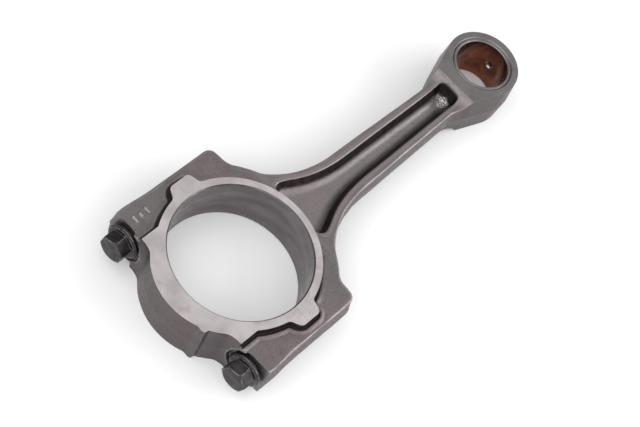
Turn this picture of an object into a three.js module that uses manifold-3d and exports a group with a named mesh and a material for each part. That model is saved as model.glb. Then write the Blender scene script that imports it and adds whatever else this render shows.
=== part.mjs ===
// Connecting rod of a small four-stroke engine: forged rod half, fracture-split
// cap, bronze gudgeon-pin bush and two hexagon flange bolts.
// Millimetres, +Z up. The rod lies flat: X runs along its axis towards the small
// end, Z is the direction of both bores, and z = 0 is the lower thrust face.
import * as THREE from 'three';
import { mergeVertices } from 'three/addons/utils/BufferGeometryUtils.js';
import Module from 'manifold-3d';

const wasm = await Module();
wasm.setup();

// ---- driving dimensions -------------------------------------------------------

const centreDistance = 142;      // big-end bore axis to small-end bore axis
const width = 21.5;              // both ends, over the thrust faces
const fitGap = 0.3;              // clearance kept between neighbouring pieces

const bigBoreRadius = 27.5;      // shell housing bore
const ringRadius = 31;           // raised thrust ring
const ringShift = -0.5;          // the ring sits slightly towards the cap
const bossRecess = 3;            // bolt bosses below the thrust face
const bossHalfWidth = 39.2;      // bolt bosses, from the rod axis
// flat tabs of the thrust face beside the split
const tab = { outer: 35.1, foot: 30, rodSide: 5.2, capSide: -2.2, slope: 2.6, corner: 1.4 };

const capArcCentre = -9;         // cap back, arc centre on the rod axis
const capArcRadius = 27.1;
const capEnd = -26.1;            // straight end of the thrust face beside the bolts
const ear = { edge: 25.85, start: -17.6, hollowRadius: 10.9, hollowAngle: 41, hollowY: 25 };
const rib = { angle: 212, height: 1.3, width: 3 };

const seatX = -24.6;             // bolt seats on the cap
const boltOffset = 32;           // bolt axes from the rod axis
const bolt = {
  shankRadius: 4, flangeRadius: 7.3, flangeFoot: 6.3, flangeThickness: 2.9,
  footHeight: 1.1, rimHeight: 1.3, topRadius: 6.5, headAcrossFlats: 10,
  headHeight: 5.1, headChamfer: 0.7, tipX: 18,
};
const boltHeadTurn = [39, 47.6]; // degrees, each bolt stops where it was tightened

const shoulderTip = 22.4;        // rod-side end of the bolt bosses
const flankStart = [24.5, 30.8]; // where the shoulder starts to sweep into the shank
const sweepA = [29, 21.9];
const sweepB = [38, 9.5];
const shankStart = [62, 9];
const shankEnd = [116.5, 7.6];
const flangeRecess = 4;          // I-section flanges below the thrust face
const stepStart = 28.5;          // boss level steps down to flange level
const stepEnd = 33;

const pocketFloor = 8.8;         // I-section pockets, floor below the thrust face
const pocketEnd = 123.6;
const pocketEndCorner = 4;

const eyeRadius = 15.4;
const eyeFlankAngle = 18.7;      // degrees, flanks of the small end to the rod axis
const eyeFaceEnd = 124.4;        // flat face of the small end stops here
const rampRadius = 10;          // concave ramp up to the small-end face
const bushBoreRadius = 11;
const bushOuterRadius = 12.2;
const oilHoleRadius = 1.5;

const capBack = capArcCentre - capArcRadius;
const tipEnd = centreDistance + eyeRadius;
const originShift = -(capBack + tipEnd) / 2;   // puts the origin under the box centre

const arcStep = 6;               // degrees per facet on outlines

// ---- small helpers ------------------------------------------------------------

const rad = THREE.MathUtils.degToRad;

function solid(geometry) {
  const g = geometry.index ? geometry.toNonIndexed() : geometry;
  g.deleteAttribute('normal');
  g.deleteAttribute('uv');
  const merged = mergeVertices(g, 1e-4);
  const mesh = new wasm.Mesh({
    numProp: 3,
    vertProperties: new Float32Array(merged.attributes.position.array),
    triVerts: new Uint32Array(merged.index.array),
  });
  return new wasm.Manifold(mesh);
}

function toGeometry(manifold) {
  const mesh = manifold.getMesh();
  const g = new THREE.BufferGeometry();
  g.setAttribute('position', new THREE.BufferAttribute(mesh.vertProperties, 3));
  g.setIndex(new THREE.BufferAttribute(mesh.triVerts, 1));
  g.computeVertexNormals();
  return g;
}

// Points on an arc, both ends included.
function arc(cx, cy, radius, fromDeg, toDeg, step = arcStep) {
  const count = Math.max(2, Math.ceil(Math.abs(toDeg - fromDeg) / step));
  const points = [];
  for (let i = 0; i <= count; i++) {
    const a = rad(fromDeg + (toDeg - fromDeg) * i / count);
    points.push([cx + radius * Math.cos(a), cy + radius * Math.sin(a)]);
  }
  return points;
}

function bezier(p0, p1, p2, p3, count) {
  const curve = new THREE.CubicBezierCurve(
    new THREE.Vector2(...p0), new THREE.Vector2(...p1),
    new THREE.Vector2(...p2), new THREE.Vector2(...p3));
  return curve.getPoints(count).map((p) => [p.x, p.y]);
}

const mirrored = (points) => points.map(([x, y]) => [x, -y]).reverse();

// Outline in the XY plane, extruded from z = low to z = high.
function plate(points, low, high) {
  const shape = new THREE.Shape(points.map(([x, y]) => new THREE.Vector2(x, y)));
  const g = new THREE.ExtrudeGeometry(shape, { depth: high - low, bevelEnabled: false });
  g.translate(0, 0, low);
  return solid(g);
}

// Outline in the XZ plane, extruded over the whole width in Y.
function sideSlab(points, halfY) {
  const shape = new THREE.Shape(points.map(([x, z]) => new THREE.Vector2(x, z)));
  const g = new THREE.ExtrudeGeometry(shape, { depth: 2 * halfY, bevelEnabled: false });
  g.rotateX(Math.PI / 2);
  g.translate(0, halfY, 0);
  return solid(g);
}

function block(x0, x1, halfY) {
  const size = 40;
  const g = new THREE.BoxGeometry(x1 - x0, 2 * halfY, size);
  g.translate((x0 + x1) / 2, 0, width / 2);
  return solid(g);
}

// Cylinder along Z that runs past both faces.
function bore(x, radius, facets) {
  const past = 4;
  const g = new THREE.CylinderGeometry(radius, radius, width + 2 * past, facets);
  g.rotateX(Math.PI / 2);
  g.translate(x, 0, width / 2);
  return solid(g);
}

// Cylinder along X at mid-width.
function rodHole(x0, x1, y, radius, facets = 28) {
  const g = new THREE.CylinderGeometry(radius, radius, x1 - x0, facets);
  g.rotateZ(Math.PI / 2);
  g.translate((x0 + x1) / 2, y, width / 2);
  return solid(g);
}

// ---- outlines (seen from above, bore axis at the origin) ----------------------

// Upper edge of the thrust face of the rod half, from the split to the axis.
function rodPadHalf() {
  const ring = arc(ringShift, 0, ringRadius, 75, 0).filter(([x]) => x > tab.rodSide + tab.slope);
  return [
    [0, tab.outer],
    [tab.rodSide, tab.outer],
    [tab.rodSide + tab.corner, tab.outer - 1],
    [tab.rodSide + tab.slope, tab.foot],
    ...ring,
  ];
}

// Upper edge of the thrust face of the cap, from the split to the axis.
function capPadHalf() {
  const ring = arc(ringShift, 0, ringRadius, 99.5, 123.5);
  const hollowCentre = capEnd - ear.hollowRadius;
  const hollow = arc(hollowCentre, ear.hollowY, ear.hollowRadius, 0, -ear.hollowAngle);
  const backAngle = 180 - 41.6;
  return [
    [0, tab.outer],
    [tab.capSide, tab.outer],
    [tab.capSide - tab.corner, tab.outer - 1],
    ...ring,
    [ear.start, ear.edge],
    [capEnd, ear.edge],
    ...hollow,
    ...arc(capArcCentre, 0, capArcRadius, backAngle, 180),
  ];
}

function closedOutline(half) {
  const lower = mirrored(half);
  return [...half.slice(0, -1), ...lower];
}

// Rod half seen from above: bosses, sweep into the shank, shank, small end.
function bodyOutline() {
  const tangent = 90 + eyeFlankAngle;
  const half = [
    [0, bossHalfWidth],
    [shoulderTip - 3, bossHalfWidth],
    ...arc(shoulderTip - 2.6, bossHalfWidth - 2.6, 2.6, 75, 20),
    ...bezier(flankStart, sweepA, sweepB, shankStart, 12),
    shankEnd,
    ...arc(centreDistance, 0, eyeRadius, tangent, 0),
  ];
  return closedOutline(half);
}

// Height of the rod half seen from the side, symmetric about mid-width.
function bodySideProfile() {
  const rampRun = Math.sqrt(rampRadius ** 2 - (rampRadius - flangeRecess) ** 2);
  const rampStart = eyeFaceEnd - rampRun;
  const rampAngle = THREE.MathUtils.radToDeg(Math.asin(rampRun / rampRadius));
  const ramp = arc(rampStart, flangeRecess - rampRadius, rampRadius, 90, 90 - rampAngle, 12);
  const lower = [
    [-1, bossRecess],
    [stepStart, bossRecess],
    [stepEnd, flangeRecess],
    ...ramp,
    [tipEnd + 1, 0],
  ];
  const upper = lower.map(([x, z]) => [x, width - z]).reverse();
  return [...lower, ...upper];
}

// Pocket of the I-section: wide between the prongs, rounded at the small end.
function pocketOutline() {
  const half = [
    ...arc(ringShift, 0, ringRadius + 0.2, 0, 22),
    [33, 12.6],
    [35, 12.3],
    ...bezier([38, 11.1], [45.5, 7.4], [52, 6.1], [64, 5.6], 6),
    [108, 5.1],
    [pocketEnd - pocketEndCorner, 4.9],
    ...arc(pocketEnd - pocketEndCorner, 0.9, pocketEndCorner, 70, 0, 18),
  ];
  return [...half, ...mirrored(half).slice(0, -1)];
}

// ---- pieces -------------------------------------------------------------------

function bothPockets() {
  const outline = pocketOutline();
  const past = 3;
  const lower = plate(outline, -past, pocketFloor);
  const upper = plate(outline, width - pocketFloor, width + past);
  return lower.add(upper);
}

// A radial passage at the tip of the small end feeds oil to the pin.
function oilHole() {
  return rodHole(centreDistance + bushBoreRadius - 3, tipEnd + 2, 0, oilHoleRadius, 16);
}

function rodBeam() {
  let body = plate(bodyOutline(), 0, width);
  body = body.intersect(sideSlab(bodySideProfile(), 50));
  body = body.subtract(bothPockets());
  body = body.add(plate(closedOutline(rodPadHalf()), 0, width));
  body = body.subtract(block(-10, fitGap / 2, 60));
  body = body.subtract(bore(0, bigBoreRadius, 72));
  body = body.subtract(bore(centreDistance, bushOuterRadius + fitGap, 48));
  body = body.subtract(oilHole());
  for (const side of [1, -1]) {
    const hole = rodHole(-5, shoulderTip + 8, side * boltOffset, bolt.shankRadius + fitGap);
    body = body.subtract(hole);
  }
  return toGeometry(body);
}

// Small raised rib across the back of the cap.
function capRib() {
  const a = rad(rib.angle);
  const inner = capArcRadius - 2;
  const length = 2 + rib.height;
  const g = new THREE.BoxGeometry(length, rib.width, width);
  g.translate(inner + length / 2, 0, width / 2);
  g.rotateZ(a);
  g.translate(capArcCentre, 0, 0);
  return solid(g);
}

function rodCap() {
  const boss = [[0, bossHalfWidth], [seatX + 1, bossHalfWidth + 0.4], [seatX, bossHalfWidth - 0.6]];
  const bosses = [...boss, ...mirrored(boss)];
  let body = plate(bosses, bossRecess, width - bossRecess);
  body = body.add(plate(closedOutline(capPadHalf()), 0, width));
  body = body.add(capRib());
  body = body.subtract(block(-fitGap / 2, 10, 60));
  body = body.subtract(bore(0, bigBoreRadius, 72));
  for (const side of [1, -1]) {
    const y = side * boltOffset;
    const spotRadius = bolt.flangeRadius + 0.9;
    body = body.subtract(rodHole(seatX - 12, seatX, y, spotRadius, 36));
    body = body.subtract(rodHole(seatX - 5, 5, y, bolt.shankRadius + fitGap));
  }
  return toGeometry(body);
}

function smallEndBush() {
  const edge = 0.5;
  const profile = [
    [bushBoreRadius, edge],
    [bushBoreRadius + edge, 0],
    [bushOuterRadius - 0.3, 0],
    [bushOuterRadius, 0.3],
    [bushOuterRadius, width - 0.3],
    [bushOuterRadius - 0.3, width],
    [bushBoreRadius + edge, width],
    [bushBoreRadius, width - edge],
  ];
  const points = [...profile, profile[0]].map(([r, z]) => new THREE.Vector2(r, z));
  const g = new THREE.LatheGeometry(points, 48);
  g.rotateX(Math.PI / 2);
  g.scale(1, -1, 1);
  g.translate(centreDistance, 0, 0);
  flipIfInsideOut(g);
  return toGeometry(solid(g).subtract(oilHole()));
}

// A lathe profile may be wound either way; the solid needs outward faces.
function flipIfInsideOut(g) {
  const p = g.attributes.position;
  const index = g.index.array;
  let volume = 0;
  const [a, b, c] = [new THREE.Vector3(), new THREE.Vector3(), new THREE.Vector3()];
  for (let i = 0; i < index.length; i += 3) {
    a.fromBufferAttribute(p, index[i]);
    b.fromBufferAttribute(p, index[i + 1]);
    c.fromBufferAttribute(p, index[i + 2]);
    volume += a.dot(b.cross(c));
  }
  if (volume > 0) return;
  for (let i = 0; i < index.length; i += 3) {
    [index[i + 1], index[i + 2]] = [index[i + 2], index[i + 1]];
  }
}

// Hexagon flange bolt along +X, seat face at x = 0, head towards -X.
function flangeBolt(headTurn) {
  const gap = 0.05;
  const flangeTop = bolt.footHeight + bolt.rimHeight;
  const tip = bolt.tipX - seatX;
  const profile = [
    [0, tip],
    [bolt.shankRadius - 0.8, tip],
    [bolt.shankRadius, tip - 0.8],
    [bolt.shankRadius, -gap],
    [bolt.flangeFoot, -gap],
    [bolt.flangeRadius, -bolt.footHeight],
    [bolt.flangeRadius, -flangeTop],
    [bolt.topRadius, -bolt.flangeThickness],
    [0, -bolt.flangeThickness],
  ];
  const lathe = new THREE.LatheGeometry(profile.map(([r, x]) => new THREE.Vector2(r, x)), 32);
  lathe.rotateZ(-Math.PI / 2);
  flipIfInsideOut(lathe);

  const corner = bolt.headAcrossFlats / Math.sqrt(3);
  const headX = -bolt.flangeThickness - bolt.headHeight;
  const hexagon = new THREE.CylinderGeometry(corner, corner, bolt.headHeight + 1, 6);
  hexagon.rotateX(Math.PI / 2);
  hexagon.rotateY(-Math.PI / 2);
  hexagon.rotateX(rad(headTurn));
  hexagon.translate(headX + (bolt.headHeight + 1) / 2, 0, 0);

  const round = bolt.headAcrossFlats / 2;
  const rounding = [
    [0, 0],
    [corner + 1, 0],
    [corner + 1, headX + bolt.headChamfer],
    [round, headX],
    [0, headX],
  ];
  const dome = new THREE.LatheGeometry(rounding.map(([r, x]) => new THREE.Vector2(r, x)), 32);
  dome.rotateZ(-Math.PI / 2);
  flipIfInsideOut(dome);
  const head = solid(hexagon).intersect(solid(dome));
  return toGeometry(solid(lathe).add(head));
}

// ---- assembly -----------------------------------------------------------------

const forged = { color: 0x6f6a69, roughness: 0.55, metalness: 0.85 };
const bronze = { color: 0x9a6a44, roughness: 0.3, metalness: 1 };
const blackened = { color: 0x33312f, roughness: 0.45, metalness: 0.8 };

const rod = new THREE.Group();
rod.position.set(originShift, 0, 0);

function place(name, geometry, finish, x = 0, y = 0, z = 0) {
  const mesh = new THREE.Mesh(geometry, new THREE.MeshStandardMaterial(finish));
  mesh.name = name;
  mesh.position.set(x, y, z);
  rod.add(mesh);
}

place('rod_beam', rodBeam(), forged);
place('rod_cap', rodCap(), forged);
place('small_end_bush', smallEndBush(), bronze);
place('bolt_left', flangeBolt(boltHeadTurn[0]), blackened, seatX, boltOffset, width / 2);
place('bolt_right', flangeBolt(boltHeadTurn[1]), blackened, seatX, -boltOffset, width / 2);

export default rod;
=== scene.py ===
"""Looks of a small-engine connecting rod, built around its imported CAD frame.

The rod and its cap start as one drop forging, made as a distance field with draft,
fillets and a trimmed parting line. It is then machined with sharp cutters (thrust
faces, bores, bolt seats and holes) and cracked into rod and cap, as the real one is.
Lengths are in millimetres in the rod's own frame: big-end axis at the origin, +X to
the small end, z = 0 at mid-width. place() takes them to the frame, in metres.
"""
import itertools
import math

import bmesh
import bpy
import numpy as np
import openvdb
from mathutils import Matrix, Vector


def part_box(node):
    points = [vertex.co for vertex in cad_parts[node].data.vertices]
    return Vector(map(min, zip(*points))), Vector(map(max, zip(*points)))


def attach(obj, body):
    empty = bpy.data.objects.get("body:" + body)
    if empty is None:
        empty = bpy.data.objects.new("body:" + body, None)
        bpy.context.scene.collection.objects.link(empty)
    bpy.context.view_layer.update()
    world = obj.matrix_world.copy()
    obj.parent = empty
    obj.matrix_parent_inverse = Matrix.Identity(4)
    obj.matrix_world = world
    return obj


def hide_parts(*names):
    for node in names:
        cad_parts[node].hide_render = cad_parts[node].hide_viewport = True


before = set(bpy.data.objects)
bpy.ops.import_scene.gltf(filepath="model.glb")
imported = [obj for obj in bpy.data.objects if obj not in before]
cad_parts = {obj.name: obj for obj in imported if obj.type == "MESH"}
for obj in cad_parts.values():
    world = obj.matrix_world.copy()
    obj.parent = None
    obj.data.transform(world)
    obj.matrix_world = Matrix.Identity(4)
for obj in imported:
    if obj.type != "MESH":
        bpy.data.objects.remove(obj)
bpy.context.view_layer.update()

# ---- dimensions, mm ---------------------------------------------------------------

MM = 0.001
VOXEL = 0.3

CENTRES = 142.0            # big-end axis to small-end axis
HALF = 10.75               # half of the width over the thrust faces
BIG_BORE = 27.5
RING, RING_X = 31.0, -0.5  # raised thrust ring: radius and axis
CAP_R, CAP_X = 27.1, -9.0  # full-height back of the cap: radius and axis
BOSS_Y = 39.2              # bolt bosses, top edge, from the rod axis
BOSS_Z = HALF - 2.5        # boss plane above mid-width
SEAT_X = -24.6             # machined bolt seats
SPOT_R = 8.7               # spot-face cutter
BOLT_Y = 32.0
BOLT_HOLE = 4.3
FLANGE_Z = HALF - 4.0      # flanges of the I-section above mid-width
WEB_Z = 1.95               # half of the web between the two pockets
EYE_R, EYE_FLANK = 15.4, 18.7  # small end: radius, and degrees that its flanks lean
EYE_FACE_X = 124.4         # straight edge of the small-end face
BUSH_BORE, BUSH_OUT = 11.0, 12.4
OIL_HOLE = 1.15
BORE_LEAD = 0.45           # chamfers at the mouths of the two forged bores
SHELL = 0.05               # how far a face may lie off its nominal cylinder

DRAFT = 0.073              # side walls of the forging, mm per mm of height
PAD_DRAFT = 0.03           # walls of the raised thrust face
POCKET_LEAN = 0.50         # pocket walls
SKIN_ROUND = 0.4           # outer edges of the forging
FLOOR_FILLET = 2.3         # pocket floor to pocket walls
PAD_FILLET = 0.5           # foot of the raised thrust face
RAMP_R = 9.0               # hollow ramp from the flanges up to the small end
FLASH = 0.24               # trimmed flash round the parting line
DIE_STEPS = ((3.9, 0.16), (6.2, 0.07))  # ledges along the side walls: height, width
CRACK_GAP = 0.02           # half of the hairline between rod and cap
DOT = (119.3, -0.4)        # rough raised dot on the pocket floor
WELD = 0.0005              # vertices closer than this are one

# ---- frame ------------------------------------------------------------------------

bush_low, bush_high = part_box("small_end_bush")
EYE_CENTRE = (bush_low + bush_high) / 2
ORIGIN = EYE_CENTRE - Vector((CENTRES * MM, 0, 0))


def place(points):
    """Rod-frame millimetres to frame metres."""
    return np.asarray(points, float) * MM + np.array(ORIGIN)


# ---- distance-field helpers -------------------------------------------------------


def round_union(a, b, r):
    """Union with a concave fillet of radius r."""
    u, v = np.maximum(r - a, 0), np.maximum(r - b, 0)
    return np.maximum(r, np.minimum(a, b)) - np.sqrt(u * u + v * v)


def round_cut(a, b, r):
    """Intersection with a convex rounding of radius r."""
    u, v = np.maximum(r + a, 0), np.maximum(r + b, 0)
    return np.minimum(-r, np.maximum(a, b)) + np.sqrt(u * u + v * v)


def smooth(t, a, b):
    """0 up to a, 1 from b, and a smooth step between."""
    t = np.clip((t - a) / (b - a), 0, 1)
    return t * t * (3 - 2 * t)


def polygon_distance(points, x, y):
    """Signed distance to a closed outline, negative inside."""
    d = np.full(x.shape, 1e9)
    inside = np.zeros(x.shape, bool)
    for (x0, y0), (x1, y1) in zip(points, points[1:] + points[:1]):
        ex, ey = x1 - x0, y1 - y0
        if ex == 0 and ey == 0:
            continue
        t = np.clip(((x - x0) * ex + (y - y0) * ey) / (ex * ex + ey * ey), 0, 1)
        d = np.minimum(d, (x - x0 - t * ex) ** 2 + (y - y0 - t * ey) ** 2)
        if ey:
            inside ^= ((y0 > y) != (y1 > y)) & (x < ex * (y - y0) / ey + x0)
    d = np.sqrt(d)
    return np.where(inside, -d, d)


def edge_distance(p, q, x, y):
    """Distance to the line from p to q, positive on its right-hand side."""
    ex, ey = q[0] - p[0], q[1] - p[1]
    return ((x - p[0]) * ey - (y - p[1]) * ex) / math.hypot(ex, ey)


def arc(cx, cy, r, start, end, n=16):
    angles = [math.radians(start + (end - start) * i / n) for i in range(n + 1)]
    return [(cx + r * math.cos(a), cy + r * math.sin(a)) for a in angles]


def bezier(p0, p1, p2, p3, n=14):
    out = []
    for i in range(n + 1):
        t = i / n
        w = ((1 - t) ** 3, 3 * t * (1 - t) ** 2, 3 * t * t * (1 - t), t ** 3)
        out.append(tuple(sum(k * p[j] for k, p in zip(w, (p0, p1, p2, p3))) for j in (0, 1)))
    return out


def both_sides(half):
    """Closed outline from its upper half, mirrored in the rod axis."""
    return half + [(x, -y) for x, y in reversed(half) if abs(y) > 1e-6]


def wobble(x, y, seed, size, height):
    """Slow unevenness of a forged skin: a few crossing waves."""
    rng = np.random.default_rng(seed)
    total = 0
    for _ in range(9):
        turn, phase = rng.uniform(0, math.tau, 2)
        length = size * rng.uniform(0.6, 1.8)
        total = total + np.sin((x * math.cos(turn) + y * math.sin(turn)) * math.tau / length + phase)
    return total * height / 3


# ---- outlines ---------------------------------------------------------------------


def body_half(side):
    """Forging outline at its top edge: boss, shoulder, sweep, shank, small end."""
    slim = 0.5 if side > 0 else 0.0     # the two shoulders aren't quite alike
    eye_top = 90 + EYE_FLANK
    half = [(-26.2, 0), (-26.2, BOSS_Y - 0.2)]
    half += bezier((-25.6, BOSS_Y + 0.5), (-20, BOSS_Y + 1.1), (-16, BOSS_Y + 0.1), (-8, BOSS_Y), 8)
    half += [(19.0, BOSS_Y)]
    half += bezier((19.4, BOSS_Y), (21.4, BOSS_Y), (22.6, 38.0), (22.9, 36.2), 8)
    half += bezier((23.1, 33.8), (23.1, 31.2), (23.6, 30.1), (24.9 - slim, 28.6), 8)
    half += bezier((26.4 - slim, 26.9), (30.6 - slim, 21.9 - slim), (38, 9.5 - slim), (62, 9.0), 24)
    half += [(110, 7.75)]
    half += bezier((113.5, 7.65), (116.0, 7.6), (117.0, 7.8), (119.2, 8.55), 8)
    half += arc(CENTRES, 0, EYE_R, eye_top, 0, 40)
    return half


def pocket_half():
    """Pocket of the I-section at the level of the flange tops."""
    half = [(24, 0), (24, 7.4), (29.3, 8.9), (31.2, 10.1)]
    half += bezier((31.2, 10.1), (31.9, 12.9), (33.9, 13.6), (36.0, 12.75), 8)
    half += bezier((36.0, 12.75), (41.5, 11.0), (46, 6.2), (64, 5.65), 16)
    half += [(80, 5.5), (100, 5.25), (117.5, 5.0)]
    half += bezier((117.5, 5.0), (120.7, 4.95), (122.1, 4.8), (122.2, 2.9), 8)
    half += [(122.3, 0)]
    return half


def cap_ridge(x, y):
    """Low ridge down the back of the cap, steeper on its right flank."""
    proud, at = 1.3, math.radians(30.5)
    along = CAP_R * (np.arctan2(-y, CAP_X - x) - at)
    return proud * (1 - smooth(-along, 0.3, 3.2)) * (1 - smooth(along, 0.2, 1.5))


def pad_distance(x, y):
    """Raised thrust face: ring, tabs beside the split, and the cap's full-height back."""
    ya = np.abs(y)
    ring = np.hypot(x - RING_X, y) - RING
    top = ya - 35.1
    rod_side = edge_distance((6.6, 34.2), (7.7, 29.9), x, ya)
    cap_side = edge_distance((-5.5, 30.6), (-3.6, 34.3), x, ya)
    tab = round_cut(round_cut(top, -rod_side, 1.5), -cap_side, 1.3)
    pad = round_union(ring, np.maximum(tab, 20 - ya), 0.9)
    back = np.hypot(x - CAP_X, y) - CAP_R - cap_ridge(x, y)
    ear = np.maximum(ya - 25.85, 10.9 - np.hypot(x + 37, ya - 25))
    ear = np.maximum(ear, np.maximum(-(x + 31), x + 8))
    cap = round_union(back, ear, 0.4)
    return np.where(x < 4, np.minimum(pad, cap), pad)


# ---- forging ----------------------------------------------------------------------


def skin_height(x, y, pad):
    """Height of the forging's upper skin above mid-width."""
    height = BOSS_Z - (BOSS_Z - FLANGE_Z) * smooth(x, 28.0, 33.0)

    # a groove at the foot of the thrust face and a rolled bead beside it, softer at +Y
    left = smooth(y, -5, 5)
    groove = (0.35 - 0.17 * left) * (1 - smooth(pad, 0.7, 1.5)) * (1 - smooth(x, 14, 25))
    bead = (0.45 - 0.25 * left) * smooth(pad, 0.8, 1.5) * (1 - smooth(pad, 1.7, 3.3))
    height = height + bead * (1 - smooth(x, 7, 17)) - groove + wobble(x, y, 4, 16, 0.035)

    # hollow ramp up to the small end, then stock that the face cutter takes off
    rise = HALF - FLANGE_Z
    ramp_x = EYE_FACE_X - math.sqrt(2 * RAMP_R * rise - rise ** 2)
    run = np.clip(x - ramp_x, 0, RAMP_R * 0.94)
    stock = np.clip(x - EYE_FACE_X - 2, 0, 2)
    return height + RAMP_R - np.sqrt(RAMP_R ** 2 - run ** 2) + stock


def side_distance(body, x, y, z, height):
    """Distance to the drafted side walls, with the flash line and the dies' ledges."""
    side = body + DRAFT * (z - np.minimum(height, HALF)) + wobble(x, y, 9, 22, 0.05)
    trimmed = 1 - smooth(x, 108, 116)
    band = trimmed * (1 - smooth(z, 1.0, 1.3))
    side = side - (FLASH + wobble(x, y, 12, 5, 0.04)) * band
    for level, ledge in DIE_STEPS:
        side = side - ledge * (1 - smooth(z, level, level + 0.3)) * trimmed
    return side


def forging_field():
    """Distance field of the raw forging's upper half, and its grid axes."""
    xs = np.arange(-40, 161, VOXEL)
    ys = np.arange(-43 + VOXEL / 2, 43, VOXEL)
    zs = (np.arange(int(13 / VOXEL)) + 0.5) * VOXEL
    x, y = (a[:, :, None] for a in np.meshgrid(xs, ys, indexing="ij"))
    z = zs[None, None, :]

    left, right = (polygon_distance(both_sides(body_half(side)), x, y) for side in (1, -1))
    body = np.where(y > 0, left, right)
    pocket = polygon_distance(both_sides(pocket_half()), x, y)
    pad = pad_distance(x, y)

    height = skin_height(x, y, pad)
    slope = np.hypot(*np.gradient(height[:, :, 0], VOXEL))[:, :, None]
    top = (z - height) / np.sqrt(1 + slope ** 2)
    field = round_cut(side_distance(body, x, y, z, height), top, SKIN_ROUND)

    lean = POCKET_LEAN - 0.22 * smooth(x, 112, 119) + 0.08 * (1 - smooth(x, 40, 60))
    well = pocket + lean * (FLANGE_Z + 0.2 - z)
    floor = WEB_Z + wobble(x, y, 21, 14, 0.03) - z
    field = round_cut(field, -round_cut(well, floor, FLOOR_FILLET), SKIN_ROUND)

    pad_top = 12.4
    wall = np.maximum(pad - PAD_DRAFT * (HALF - z), z - pad_top)
    return round_union(field, wall, PAD_FILLET).astype(np.float32), (xs, ys, zs)


def marks(field, axes):
    """Generic raised bars on the left boss and a small rough dot in the pocket."""
    xs, ys, zs = axes
    x, y, z = xs[:, None, None], ys[None, :, None], zs[None, None, :]
    first_x, pitch, middle_y = -21.0, 3.0, 33.7
    radius, proud = 0.45, 0.52
    for i, straight in enumerate((1.3, 0.8, 1.3)):
        beyond = np.maximum(np.abs(y - middle_y) - straight, 0)
        bar = np.hypot(x - first_x - pitch * i, beyond) - radius
        bar = np.maximum(bar, np.abs(z - BOSS_Z) - proud)
        field = np.minimum(field, bar.astype(np.float32))
    rough = 0.5 + 0.5 * np.sin(x * 4.1 + y * 1.3) * np.sin(y * 4.4 - x * 0.9)
    dot = (0.55 * rough * dot_mask(x, y)).astype(np.float32)
    return field - dot * (z < FLANGE_Z - 1)


def dot_mask(x, y):
    return 1 - smooth(np.hypot(x - DOT[0], y - DOT[1]), 1.7, 2.4)


def mesh_from_field(name, field, axes):
    xs, ys, zs = axes
    grid = openvdb.FloatGrid(background=3.0)
    grid.copyFromArray(np.ascontiguousarray(field))
    points, _, quads = grid.convertToPolygons(isovalue=0.0, adaptivity=0.0)
    low = np.array([xs[0], ys[0], -zs[-1]])
    return make_object(name, points * VOXEL + low, quads.tolist())


def box_blur(a, radius):
    """Mean over a cube of the given half-width in voxels."""
    for axis in range(3):
        pad = [(0, 0)] * 3
        pad[axis] = (radius + 1, radius)
        total = np.cumsum(np.pad(a, pad, mode="edge"), axis=axis, dtype=np.float32)
        size, width = a.shape[axis], 2 * radius + 1
        upper = np.take(total, range(width, width + size), axis=axis)
        lower = np.take(total, range(0, size), axis=axis)
        a = (upper - lower) / width
    return a


def shelter(field):
    """Share of steel around each point of the upper half: high in corners, low on edges."""
    blur = round(1.0 / VOXEL)
    solid = (field < 0).astype(np.float32)
    whole = np.concatenate([solid[:, :, ::-1], solid], axis=2)
    return box_blur(box_blur(whole, blur), blur)[:, :, solid.shape[2]:]


def sample(grid, axes, points):
    """Trilinear values of a grid at points (the field is mirrored in z)."""
    xs, ys, zs = axes
    p = np.stack([points[:, 0] - xs[0], points[:, 1] - ys[0], np.abs(points[:, 2]) - zs[0]], 1)
    p = np.clip(p / VOXEL, 0, np.array(grid.shape) - 1.001)
    cell = p.astype(int)
    part = p - cell
    total = 0
    for corner in itertools.product((0, 1), repeat=3):
        weight = np.where(corner, part, 1 - part).prod(axis=1)
        total = total + weight * grid[tuple((cell + corner).T)]
    return total


# ---- meshes and cutters -----------------------------------------------------------


def make_object(name, points, faces):
    """Mesh object from rod-frame points in mm (kept in mm until settle())."""
    mesh = bpy.data.meshes.new(name)
    mesh.from_pydata(np.asarray(points).tolist(), [], list(faces))
    obj = bpy.data.objects.new(name, mesh)
    bpy.context.scene.collection.objects.link(obj)
    return obj


def read(items, name, width=3, kind=float):
    """One property of all vertices, edges or faces, a row for each."""
    values = np.empty(len(items) * width, kind)
    items.foreach_get(name, values)
    return values.reshape(-1, width)


def lathe(name, profile, segments, centre=(0, 0, 0), axis="Z", phase=0.0):
    """Closed solid turned from (radius, height) points that start and end on the axis."""
    inner = profile[1:-1]
    points = [(0, 0, profile[0][1]), (0, 0, profile[-1][1])]
    for r, h in inner:
        for k in range(segments):
            a = phase + math.tau * k / segments
            points.append((r * math.cos(a), r * math.sin(a), h))
    faces = []
    last = 2 + (len(inner) - 1) * segments
    for k in range(segments):
        n = (k + 1) % segments
        faces.append((0, 2 + n, 2 + k))
        for a in range(2, last, segments):
            b = a + segments
            faces.append((a + k, a + n, b + n, b + k))
        faces.append((1, last + k, last + n))
    points = np.array(points)
    if axis == "X":
        points = points[:, [2, 0, 1]]
    return make_object(name, points + np.array(centre), faces)


def box(name, low, high):
    corners = list(itertools.product(*zip(low, high)))
    faces = [(0, 1, 3, 2), (4, 6, 7, 5), (0, 4, 5, 1), (2, 3, 7, 6), (0, 2, 6, 4), (1, 5, 7, 3)]
    return make_object(name, corners, faces)


def apply_modifiers(obj):
    """Puts the evaluated mesh in the place of the object's own."""
    evaluated = obj.evaluated_get(bpy.context.evaluated_depsgraph_get())
    result = bpy.data.meshes.new_from_object(evaluated)
    obj.modifiers.clear()
    old = obj.data
    obj.data = result
    bpy.data.meshes.remove(old)


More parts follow.
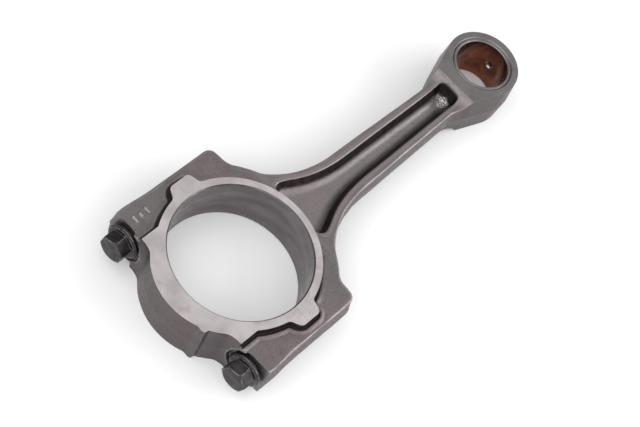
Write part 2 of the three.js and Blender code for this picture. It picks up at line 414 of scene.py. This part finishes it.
def boolean(obj, cutter, operation):
    """Applies a boolean and removes the cutter."""
    mod = obj.modifiers.new("cut", "BOOLEAN")
    mod.object = cutter
    mod.operation = operation
    mod.solver = "MANIFOLD"
    apply_modifiers(obj)
    bpy.data.objects.remove(cutter)


def crack_sheet():
    """Thin wavy slab through the bolt-joint plane: the fracture between rod and cap."""
    ys, zs = np.linspace(-43, 43, 87), np.linspace(-12.5, 12.5, 26)
    y, z = np.meshgrid(ys, zs, indexing="ij")
    x = wobble(y, z, 31, 7, 0.05) + wobble(y, z, 32, 3, 0.02)
    ny, nz = y.shape
    points = np.concatenate([np.stack([x - CRACK_GAP, y, z], -1).reshape(-1, 3),
                             np.stack([x + CRACK_GAP, y, z], -1).reshape(-1, 3)])
    n = ny * nz
    faces = []
    for i in range(ny - 1):
        for j in range(nz - 1):
            a, b, c, d = i * nz + j, (i + 1) * nz + j, (i + 1) * nz + j + 1, i * nz + j + 1
            faces += [(a, d, c, b), (n + a, n + b, n + c, n + d)]
    for i in range(ny - 1):
        a, b = i * nz, (i + 1) * nz
        faces.append((a, b, n + b, n + a))
        a, b = a + nz - 1, b + nz - 1
        faces.append((a, n + a, n + b, b))
    for j in range(nz - 1):
        a, b = j, j + 1
        faces.append((a, n + a, n + b, b))
        a, b = a + (ny - 1) * nz, b + (ny - 1) * nz
        faces.append((a, b, n + b, n + a))
    return make_object("crack", points, faces)


def bore_profile(r, end, lead, deep):
    """Bore cutter with a 45 degree chamfer at both ends, running deep past them."""
    half = [(r, end - lead), (r + lead + deep, end + deep), (0, end + deep)]
    return [(x, -z) for x, z in reversed(half)] + half


def machine(forging):
    """Every cut that a real rod gets after forging."""
    boolean(forging, box("faces", (-60, -60, -HALF), (180, 60, HALF)), "INTERSECT")
    for cx, r in ((0, BIG_BORE), (CENTRES, BUSH_OUT)):
        profile = bore_profile(r, HALF, BORE_LEAD, 2.0)
        boolean(forging, lathe("bore", profile, 240, (cx, 0, 0)), "DIFFERENCE")
    oil = [(0, CENTRES + 6), (OIL_HOLE, CENTRES + 6), (OIL_HOLE, CENTRES + 15.2),
           (2.6, CENTRES + 16.8), (0, CENTRES + 16.8)]
    boolean(forging, lathe("oil", oil, 40, axis="X"), "DIFFERENCE")
    spot = [(0, -45), (SPOT_R, -45), (SPOT_R, SEAT_X - 0.5), (SPOT_R - 0.5, SEAT_X), (0, SEAT_X)]
    hole = [(0, -30), (BOLT_HOLE, -30), (BOLT_HOLE, 40), (0, 40)]
    for side in (1, -1):
        boolean(forging, lathe("seat", spot, 96, (0, side * BOLT_Y, 0), "X"), "DIFFERENCE")
        low, high = sorted((side * BOLT_Y, side * 60))
        boolean(forging, box("mill", (-45, low, -13), (SEAT_X, high, 13)), "DIFFERENCE")
        boolean(forging, lathe("hole", hole, 64, (0, side * BOLT_Y, 0), "X"), "DIFFERENCE")
    boolean(forging, crack_sheet(), "DIFFERENCE")


def split(forging):
    """Rod and cap by name, without any crumb that the crack left."""
    mesh = forging.data
    co = read(mesh.vertices, "co")
    edges = read(mesh.edges, "vertices", 2, int)
    label = np.arange(len(co))
    while True:
        low = label[edges].min(axis=1)
        new = label.copy()
        np.minimum.at(new, edges[:, 0], low)
        np.minimum.at(new, edges[:, 1], low)
        new = new[new]
        if (new == label).all():
            break
        label = new
    groups, counts = np.unique(label, return_counts=True)
    pieces = {}
    for group in groups[np.argsort(-counts)[:2]]:
        chosen = label == group
        name = "rod_forging" if co[chosen, 0].mean() > 0 else "cap_forging"
        index = (np.cumsum(chosen) - 1).tolist()
        faces = [[index[v] for v in p.vertices] for p in mesh.polygons if chosen[p.vertices[0]]]
        pieces[name] = make_object(name, co[chosen], faces)
    bpy.data.objects.remove(forging)
    return pieces


def weld(mesh):
    """Closes up the hair-thin faces that booleans leave."""
    bm = bmesh.new()
    bm.from_mesh(mesh)
    bmesh.ops.remove_doubles(bm, verts=bm.verts, dist=WELD)
    bmesh.ops.dissolve_degenerate(bm, edges=bm.edges, dist=WELD)
    many_sided = [face for face in bm.faces if len(face.verts) > 4]
    bmesh.ops.triangulate(bm, faces=many_sided, ngon_method="BEAUTY")
    bmesh.ops.dissolve_degenerate(bm, edges=bm.edges, dist=WELD)
    bm.to_mesh(mesh)
    bm.free()


def settle(obj, sharp_deg, node):
    """Takes a finished mesh from millimetres to the frame, in the place of its CAD node."""
    mesh = obj.data
    weld(mesh)
    mesh.vertices.foreach_set("co", place(read(mesh.vertices, "co")).ravel())
    mesh.polygons.foreach_set("use_smooth", np.ones(len(mesh.polygons), bool))
    mesh.set_sharp_from_angle(angle=math.radians(sharp_deg))
    mesh.update()
    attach(obj, "root")
    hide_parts(node)


# ---- materials --------------------------------------------------------------------


class Nodes:
    """Small wrapper that keeps node graphs readable."""

    def __init__(self, name):
        self.mat = bpy.data.materials.new(name)
        self.mat.use_nodes = True
        self.tree = self.mat.node_tree
        self.tree.nodes.clear()
        self.out = self.tree.nodes.new("ShaderNodeOutputMaterial")
        self.bsdf = self.tree.nodes.new("ShaderNodeBsdfPrincipled")
        self.link(self.bsdf.outputs[0], self.out.inputs[0])
        self.coords = self.tree.nodes.new("ShaderNodeTexCoord").outputs["Object"]

    def link(self, a, b):
        self.tree.links.new(a, b)

    def put(self, socket, value):
        """Links a socket, or sets a number or an RGB colour."""
        if isinstance(value, bpy.types.NodeSocket):
            self.link(value, socket)
        else:
            socket.default_value = (*value, 1) if socket.type == "RGBA" else value

    def noise(self, size_mm, detail=3, stretch=(1, 1, 1), roughness=0.5, seed=0.0):
        """Noise with features of the given size; stretch lengthens them along an axis."""
        mapping = self.tree.nodes.new("ShaderNodeMapping")
        mapping.inputs["Scale"].default_value = [1 / (size_mm * MM * s) for s in stretch]
        mapping.inputs["Location"].default_value = (seed, seed * 1.7, seed * 0.6)
        self.link(self.coords, mapping.inputs["Vector"])
        node = self.tree.nodes.new("ShaderNodeTexNoise")
        node.inputs["Scale"].default_value = 1.0
        node.inputs["Detail"].default_value = detail
        node.inputs["Roughness"].default_value = roughness
        self.link(mapping.outputs[0], node.inputs["Vector"])
        return node.outputs["Fac"]

    def attribute(self, name):
        node = self.tree.nodes.new("ShaderNodeAttribute")
        node.attribute_name = name
        return node.outputs["Fac"]

    def height(self):
        """Height of the surface above the rod's lower face, in metres."""
        node = self.tree.nodes.new("ShaderNodeSeparateXYZ")
        self.link(self.coords, node.inputs[0])
        return node.outputs["Z"]

    def ramp(self, fac, low, high, to_low=0.0, to_high=1.0):
        node = self.tree.nodes.new("ShaderNodeMapRange")
        node.interpolation_type = "SMOOTHSTEP"
        self.put(node.inputs["Value"], fac)
        node.inputs["From Min"].default_value = low
        node.inputs["From Max"].default_value = high
        node.inputs["To Min"].default_value = to_low
        node.inputs["To Max"].default_value = to_high
        return node.outputs[0]

    def math(self, op, a, b):
        node = self.tree.nodes.new("ShaderNodeMath")
        node.operation = op
        self.put(node.inputs[0], a)
        self.put(node.inputs[1], b)
        return node.outputs[0]

    def mix(self, fac, a, b, blend="MIX"):
        node = self.tree.nodes.new("ShaderNodeMix")
        node.data_type = "RGBA"
        node.blend_type = blend
        for index, value in ((0, fac), (6, a), (7, b)):
            self.put(node.inputs[index], value)
        return node.outputs[2]

    def shade(self, color, grey):
        """Multiplies a colour by a grey value."""
        return self.mix(1.0, color, self.mix(grey, (0, 0, 0), (1, 1, 1)), "MULTIPLY")

    def bump(self, height, distance_mm, strength=1.0, normal=None):
        node = self.tree.nodes.new("ShaderNodeBump")
        node.inputs["Strength"].default_value = strength
        node.inputs["Distance"].default_value = distance_mm * MM
        self.link(height, node.inputs["Height"])
        if normal is not None:
            self.link(normal, node.inputs["Normal"])
        return node.outputs[0]

    def finish(self, color, roughness, metallic=1.0, normal=None):
        self.put(self.bsdf.inputs["Base Color"], color)
        self.put(self.bsdf.inputs["Roughness"], roughness)
        self.put(self.bsdf.inputs["Metallic"], metallic)
        if normal is not None:
            self.link(normal, self.bsdf.inputs["Normal"])
        return self.mat


def forged_steel():
    """Blasted forging skin, rubbed on edges, with painted shade in corners, on upright walls and on
    the pocket walls, and painted light on the pocket floor.
    """
    n = Nodes("forged_steel")
    tint = n.ramp(n.noise(22, 2), 0.35, 0.65)
    color = n.mix(tint, (0.222, 0.184, 0.190), (0.204, 0.188, 0.188))
    color = n.shade(color, n.ramp(n.noise(0.7, 4, roughness=0.75), 0.3, 0.7, 0.70, 1.30))
    color = n.shade(color, n.ramp(n.noise(5, 3, seed=3.1), 0.3, 0.7, 0.9, 1.08))
    # Painted shade: where the shelter value is high, in corners and hollows, the colour goes nearly
    # black.
    cavity = n.attribute("cavity")
    dark = n.ramp(cavity, 0.54, 0.66)
    color = n.mix(n.math("MULTIPLY", dark, 0.9), color, (0.030, 0.025, 0.024))
    # Lighter steel on convex edges, where the skin is rubbed bare, and painted light on the pocket
    # floor, whose shelter value is held low for this.
    wear_and_floor_light = n.ramp(cavity, 0.44, 0.30)
    color = n.mix(n.math("MULTIPLY", wear_and_floor_light, 0.35), color, (0.42, 0.38, 0.37))
    # Painted shade: upright walls are darkened, most where they face ±Y.
    color = n.mix(n.attribute("wall"), color, (0.50, 0.47, 0.48), "MULTIPLY")
    speck = n.ramp(n.noise(0.8, 2, seed=4.4), 0.45, 0.55)
    color = n.mix(n.math("MULTIPLY", n.attribute("rub"), speck), color, (0.48, 0.46, 0.45))
    # Painted shade: the pocket walls go nearly black, mottled a little by noise.
    pocket_shade_mottle = n.ramp(n.noise(2.5, 3, seed=2.2), 0.25, 0.75, 0.82, 1.0)
    color = n.mix(n.math("MULTIPLY", n.attribute("painted_pocket_shade"), pocket_shade_mottle), color, (0.024, 0.017, 0.017))
    rough = n.ramp(n.noise(1.2, 3, seed=8.0), 0.25, 0.75, 0.34, 0.48)
    rough = n.math("ADD", rough, n.math("MULTIPLY", dark, 0.35))
    blast = n.bump(n.noise(0.6, 3, roughness=0.65, seed=5.0), 0.12, 0.6)
    lumps = n.bump(n.noise(3.5, 2, seed=6.0), 0.12, 0.5, blast)
    return n.finish(color, rough, 0.92, lumps)


def cut_steel(name, dark, light, line_mm, lay, rough, seed, patch=(1, 1, 1)):
    """Machined steel: tool lines along the lay, and faint rusty stains.

    lay and patch lengthen the lines and the stains along x, y and z.
    """
    n = Nodes(name)
    color = n.mix(n.ramp(n.noise(8, 4, patch, seed=seed), 0.3, 0.7), dark, light)
    stain = n.ramp(n.noise(5, 4, patch, seed=seed + 6), 0.54, 0.70, 0.0, 0.5)
    color = n.mix(stain, color, [v * k for v, k in zip(dark, (1.0, 0.78, 0.74))])
    lines = n.noise(line_mm, 2, lay, seed=seed + 2)
    scratch = n.ramp(lines, 0.35, 0.65, 0.0, 0.16)
    color = n.mix(scratch, color, [0.7 * v for v in dark])
    rough = n.ramp(n.noise(2.5, 3, seed=seed + 4), 0.3, 0.7, *rough)
    return n.finish(color, rough, 0.97, n.bump(lines, 0.012, 0.5))


def bush_bronze():
    """Bronze with a dark varnish that is burnished away in streaks, and painted shade that darkens
    it towards the top.
    """
    n = Nodes("bush_bronze")
    varnish = n.ramp(n.noise(8, 3, seed=2.0), 0.38, 0.62)
    color = n.mix(varnish, (0.105, 0.045, 0.030), (0.27, 0.095, 0.055))
    burnished = n.ramp(n.noise(6, 2, (1, 1, 2.0), seed=5.3), 0.50, 0.70)
    color = n.mix(n.math("MULTIPLY", burnished, 0.65), color, (0.54, 0.27, 0.11))
    # Painted shade: the bronze darkens towards the top of the bush.
    painted_top_shade = n.ramp(n.height(), 9 * MM, 19 * MM, 0.0, 0.55)
    color = n.mix(painted_top_shade, color, (0.060, 0.028, 0.020))
    rings = n.noise(0.16, 2, (40, 40, 1), seed=1.0)
    rough = n.ramp(n.noise(4, 3, seed=4.0), 0.3, 0.7, 0.13, 0.24)
    return n.finish(color, rough, 1.0, n.bump(rings, 0.01, 0.4))


def bolt_black():
    n = Nodes("bolt_black")
    tint = n.ramp(n.noise(3, 3, seed=1.0), 0.3, 0.7)
    color = n.mix(tint, (0.028, 0.026, 0.027), (0.058, 0.053, 0.054))
    rough = n.ramp(n.noise(0.8, 3, seed=3.0), 0.3, 0.7, 0.30, 0.42)
    return n.finish(color, rough, 0.85, n.bump(n.noise(0.5, 3, seed=9.0), 0.05, 0.4))


def bolt_worn():
    """The bolts' edges, where the black finish has rubbed through in places."""
    n = Nodes("bolt_worn")
    bare = n.ramp(n.noise(1.4, 3, seed=6.0), 0.40, 0.62)
    color = n.mix(bare, (0.09, 0.083, 0.083), (0.42, 0.39, 0.38))
    return n.finish(color, 0.33, 0.95, n.bump(n.noise(0.5, 3, seed=2.0), 0.03, 0.3))


FORGED, GROUND, BORED, MILLED, CHAMFER = range(5)
steels = [
    forged_steel(),
    cut_steel("ground_steel", (0.51, 0.465, 0.465), (0.66, 0.61, 0.62), 0.22, (30, 1, 1),
              (0.36, 0.46), 0),
    cut_steel("bored_steel", (0.135, 0.122, 0.126), (0.21, 0.19, 0.197), 0.18, (40, 40, 1),
              (0.28, 0.40), 1, (2.2, 2.2, 0.6)),
    cut_steel("milled_steel", (0.18, 0.172, 0.174), (0.225, 0.212, 0.212), 0.3, (1, 25, 1),
              (0.38, 0.48), 1.5),
    # The big bore's chamfer: near-black steel, painted shade for the dark line at the bore's mouth.
    cut_steel("chamfer_painted_shade", (0.07, 0.065, 0.066), (0.12, 0.112, 0.114), 0.15, (20, 20, 1),
              (0.30, 0.38), 5),
]


def paint(obj, *materials):
    """The first material all over, and the others in slots for later."""
    mesh = obj.data
    mesh.materials.clear()
    for material in materials:
        mesh.materials.append(material)
    mesh.polygons.foreach_set("material_index", np.zeros(len(mesh.polygons), np.int32))


def finish_faces(obj):
    """Gives each face the finish its cutter leaves, from where it lies (mm)."""
    mesh = obj.data
    x, y, z = read(mesh.polygons, "center").T
    nx, ny, nz = read(mesh.polygons, "normal").T
    kind = np.full(len(x), FORGED)
    flat = (np.abs(z) > HALF - 0.01) & (np.abs(nz) > 0.99)
    kind[flat & (x < 60)] = GROUND
    kind[flat & (x > 60)] = MILLED
    radius = np.hypot(x, y)
    inward = (nx * x + ny * y) / np.maximum(radius, 1) < -0.3
    kind[(radius < BIG_BORE + 0.5) & inward] = BORED
    kind[(np.hypot(x - CENTRES, y) < BUSH_OUT + 0.5) & ~flat] = MILLED
    off_axis = np.hypot(np.abs(y) - BOLT_Y, z)
    kind[(nx < -0.99) & (np.abs(x - SEAT_X) < 0.02)] = MILLED
    kind[(x < SEAT_X + 0.02) & (np.abs(off_axis - SPOT_R) < 0.6)] = MILLED
    kind[off_axis < BOLT_HOLE + SHELL] = BORED
    # Painted shade: the big bore's chamfer faces get the near-black chamfer material.
    bevel = (np.abs(nz) > 0.5) & (np.abs(nz) < 0.9) & (np.abs(z) > HALF - 0.5)
    kind[bevel & (np.abs(radius - BIG_BORE - BORE_LEAD / 2) < 0.35)] = CHAMFER
    for material in steels:
        mesh.materials.append(material)
    mesh.polygons.foreach_set("material_index", kind.astype(np.int32))


def write_attribute(obj, name, values):
    layer = obj.data.attributes.new(name, "FLOAT", "POINT")
    layer.data.foreach_set("value", np.asarray(values, np.float32))


def skin_attributes(piece, cavity, axes):
    """Vertex attributes of the forging skin: shelter, painted shade on the pocket walls, the rubbed
    dot, and painted shade on upright walls.
    """
    co = read(piece.data.vertices, "co")
    normals = read(piece.data.vertices, "normal")
    x, y, z = co.T
    upright = np.abs(normals[:, 2])
    near = (x > 22) & (x < 127) & (np.abs(y) < 15)
    depth = np.full(len(co), 9.0)
    depth[near] = polygon_distance(both_sides(pocket_half()), x[near], y[near])
    inside = (depth < 1.6) & (np.abs(z) < HALF - 0.3) & near
    # Painted shade mask: steep walls inside the pocket, near its outline.
    painted_pocket_shade = inside * (1 - smooth(upright, 0.58, 0.82)) * (1 - smooth(depth, 0.1, 1.3))
    rub = dot_mask(x, y) * (z > 0) * (z < FLANGE_Z)
    values = sample(cavity, axes, co)
    # Painted light and shade in the pocket: its walls get no painted corner shade, and its up-facing
    # floor gets a low value that lightens it through the edge-wear colour.
    pocket_floor_painted_light = np.minimum(values, 0.54 - 0.18 * smooth(upright, 0.7, 0.95))
    write_attribute(piece, "cavity", np.where(inside, pocket_floor_painted_light, values))
    write_attribute(piece, "painted_pocket_shade", painted_pocket_shade * (1 - rub))
    write_attribute(piece, "rub", rub)
    # Painted shade on upright walls, stronger where they face ±Y.
    sideways = 0.75 + 0.25 * np.abs(normals[:, 1])
    write_attribute(piece, "wall", (1 - smooth(upright, 0.15, 0.55)) * sideways)


# ---- build ------------------------------------------------------------------------


def build_forging():
    """Forges the blank, machines it, and cracks it into rod and cap."""
    field, axes = forging_field()
    whole = np.concatenate([field[:, :, ::-1], marks(field, axes)], axis=2)
    forging = mesh_from_field("forging", whole, axes)
    machine(forging)
    pieces = split(forging)
    cavity = shelter(field)
    for name, node in (("rod_forging", "rod_beam"), ("cap_forging", "rod_cap")):
        finish_faces(pieces[name])
        skin_attributes(pieces[name], cavity, axes)
        settle(pieces[name], 28, node)


def build_bush():
    """Pressed-in bush with chamfered ends and a countersunk oil hole."""
    outer, end = BUSH_OUT - 0.05, HALF - 0.1
    edge = 0.3
    ring = [(0, -end), (outer - edge, -end), (outer, -end + edge),
            (outer, end - edge), (outer - edge, end), (0, end)]
    bush = lathe("pin_bush", ring, 200, (CENTRES, 0, 0))
    profile = bore_profile(BUSH_BORE, end, 0.35, 1.0)
    boolean(bush, lathe("bush_hole", profile, 200, (CENTRES, 0, 0)), "DIFFERENCE")
    wall_x = CENTRES + BUSH_BORE
    sink = 0.5
    oil_r = OIL_HOLE + 0.1
    oil = [(0, wall_x - 4), (oil_r + 4 + sink, wall_x - 4), (oil_r, wall_x + sink),
           (oil_r, wall_x + 4), (0, wall_x + 4)]
    boolean(bush, lathe("bush_oil", oil, 40, axis="X"), "DIFFERENCE")
    paint(bush, bush_bronze(), steels[MILLED], steels[GROUND])
    for face in bush.data.polygons:
        x, y, z = face.center
        off_bore = math.hypot(x - CENTRES, y) > BUSH_BORE + 0.02
        # Painted highlight: the oil hole's countersink and wall in the bronze are given the bright
        # ground steel.
        if x > CENTRES and math.hypot(y, z) < OIL_HOLE + 0.55 and off_bore:
            face.material_index = 2
        elif abs(face.normal.z) > 0.5:
            face.material_index = 1
    settle(bush, 30, "small_end_bush")


def build_bolt(name, side, turn_deg, node):
    """Hexagon flange bolt: shank, undercut, flange rim, cone and chamfered hexagon."""
    centre = (0, side * BOLT_Y, 0)
    tip, head_x, seat_x = 18.0, -32.6, SEAT_X + 0.02
    across = 10.0
    corner = across / math.sqrt(3)
    turned = [(0, -27.7), (5.2, -27.7), (6.5, -27.45), (7.1, -26.95), (7.3, -26.75),
              (7.3, -25.95), (7.05, -25.75), (6.35, -25.6), (6.25, seat_x), (4.0, seat_x),
              (4.0, tip - 0.8), (3.2, tip), (0, tip)]
    bolt = lathe(name, turned, 96, centre, "X")
    prism = [(0, head_x - 0.01), (corner, head_x - 0.01), (corner, -27.0), (0, -27.0)]
    hexagon = lathe("hexagon", prism, 6, centre, "X", math.radians(turn_deg))
    dome = [(0, head_x), (across / 2 - 0.1, head_x), (corner + 0.6, head_x + 0.75),
            (corner + 0.6, -26), (0, -26)]
    boolean(hexagon, lathe("dome", dome, 96, centre, "X"), "INTERSECT")
    boolean(bolt, hexagon, "UNION")
    paint(bolt, bolt_black(), bolt_worn())
    bevel = bolt.modifiers.new("bevel", "BEVEL")
    bevel.width = 0.2
    bevel.segments = 3
    bevel.material = 1
    bevel.limit_method = "ANGLE"
    bevel.angle_limit = math.radians(25)
    bevel.use_clamp_overlap = True
    apply_modifiers(bolt)
    settle(bolt, 35, node)


build_forging()
build_bush()
build_bolt("left_bolt", 1, 39.0, "bolt_left")
build_bolt("right_bolt", -1, 47.6, "bolt_right")

# ---- stage, light and camera ------------------------------------------------------

LENS_MM = 98.6591
SENSOR_MM = 36
TURN = (2.5278, -0.9587, 0.6652)                   # rotation vector, rod frame to camera
STAND = np.array([-1.0219, 0.4963, 22.9255]) * BIG_BORE


def make_floor():
    """Plain pale paper a hair below the rod."""
    floor_z = place([[0, 0, -HALF]])[0, 2] - 0.0002
    bpy.ops.mesh.primitive_plane_add(size=6, location=(0, 0, floor_z))
    floor = bpy.context.object
    floor.name = "floor"
    paper = Nodes("paper")
    floor.data.materials.append(paper.finish((0.80, 0.80, 0.80), 0.9, 0.0))
    paper.bsdf.inputs["Specular IOR Level"].default_value = 0.0
    paper.bsdf.inputs["Emission Color"].default_value = (1, 1, 1, 1)
    paper.bsdf.inputs["Emission Strength"].default_value = 0.16


def area_light(name, direction, distance, size, power):
    """Softbox that faces the middle of the rod, unseen by the camera."""
    light = bpy.data.lights.new(name, "AREA")
    light.shape = "RECTANGLE"
    light.size, light.size_y = size
    light.energy = power
    obj = bpy.data.objects.new(name, light)
    bpy.context.scene.collection.objects.link(obj)
    away = Vector(direction).normalized()
    obj.location = away * distance
    obj.rotation_euler = away.to_track_quat("Z", "Y").to_euler()
    obj.visible_camera = False


def make_sky():
    """White studio walls, a little darker overhead and darker still at +Y."""
    world = bpy.data.worlds.new("studio")
    bpy.context.scene.world = world
    world.use_nodes = True
    tree = world.node_tree
    coords = tree.nodes.new("ShaderNodeTexCoord")
    axes = tree.nodes.new("ShaderNodeSeparateXYZ")
    tree.links.new(coords.outputs["Generated"], axes.inputs[0])

    walls = tree.nodes.new("ShaderNodeValToRGB")
    tree.links.new(axes.outputs["Z"], walls.inputs["Fac"])
    walls.color_ramp.interpolation = "EASE"
    stops = ((0.0, 1.0), (0.35, 0.95), (0.75, 0.82), (1.0, 0.82))
    while len(walls.color_ramp.elements) < len(stops):
        walls.color_ramp.elements.new(0.5)
    for element, (at, level) in zip(walls.color_ramp.elements, stops):
        element.position = at
        element.color = (level, level, level, 1)

    far_side = tree.nodes.new("ShaderNodeMapRange")
    far_side.interpolation_type = "SMOOTHSTEP"
    for socket, value in (("From Min", 0.2), ("From Max", 0.85), ("To Min", 1.0), ("To Max", 0.35)):
        far_side.inputs[socket].default_value = value
    tree.links.new(axes.outputs["Y"], far_side.inputs["Value"])

    level = tree.nodes.new("ShaderNodeMix")
    level.data_type = "RGBA"
    level.blend_type = "MULTIPLY"
    level.inputs[0].default_value = 1.0
    tree.links.new(walls.outputs["Color"], level.inputs[6])
    tree.links.new(far_side.outputs[0], level.inputs[7])
    tree.links.new(level.outputs[2], tree.nodes["Background"].inputs["Color"])


def make_camera():
    angle = math.sqrt(sum(t * t for t in TURN))
    back = np.array(Matrix.Rotation(angle, 3, Vector(TURN) / angle)).T
    eye = -back @ STAND + np.array([0, 0, HALF])
    data = bpy.data.cameras.new("camera")
    data.sensor_width = SENSOR_MM
    data.lens = LENS_MM
    data.clip_start, data.clip_end = 0.05, 20
    cam = bpy.data.objects.new("camera", data)
    bpy.context.scene.collection.objects.link(cam)
    turn = Matrix((back @ np.diag([1, -1, -1])).tolist())
    cam.matrix_world = Matrix.LocRotScale(Vector(place([eye])[0]), turn.to_quaternion(), None)
    bpy.context.scene.camera = cam


make_floor()
area_light("key", (-0.9, 0.9, 1.6), 1.0, (0.9, 0.9), 3)
area_light("strip", (0.54, -0.83, 0.25), 0.9, (1.1, 0.14), 2.4)
area_light("front", (-0.80, -0.20, 0.55), 0.9, (1.0, 0.5), 2.3)
area_light("ribbon", (0.54, -0.58, 0.62), 0.95, (1.0, 0.28), 2.6)
make_sky()
make_camera()
bpy.context.scene.view_settings.view_transform = "Standard"
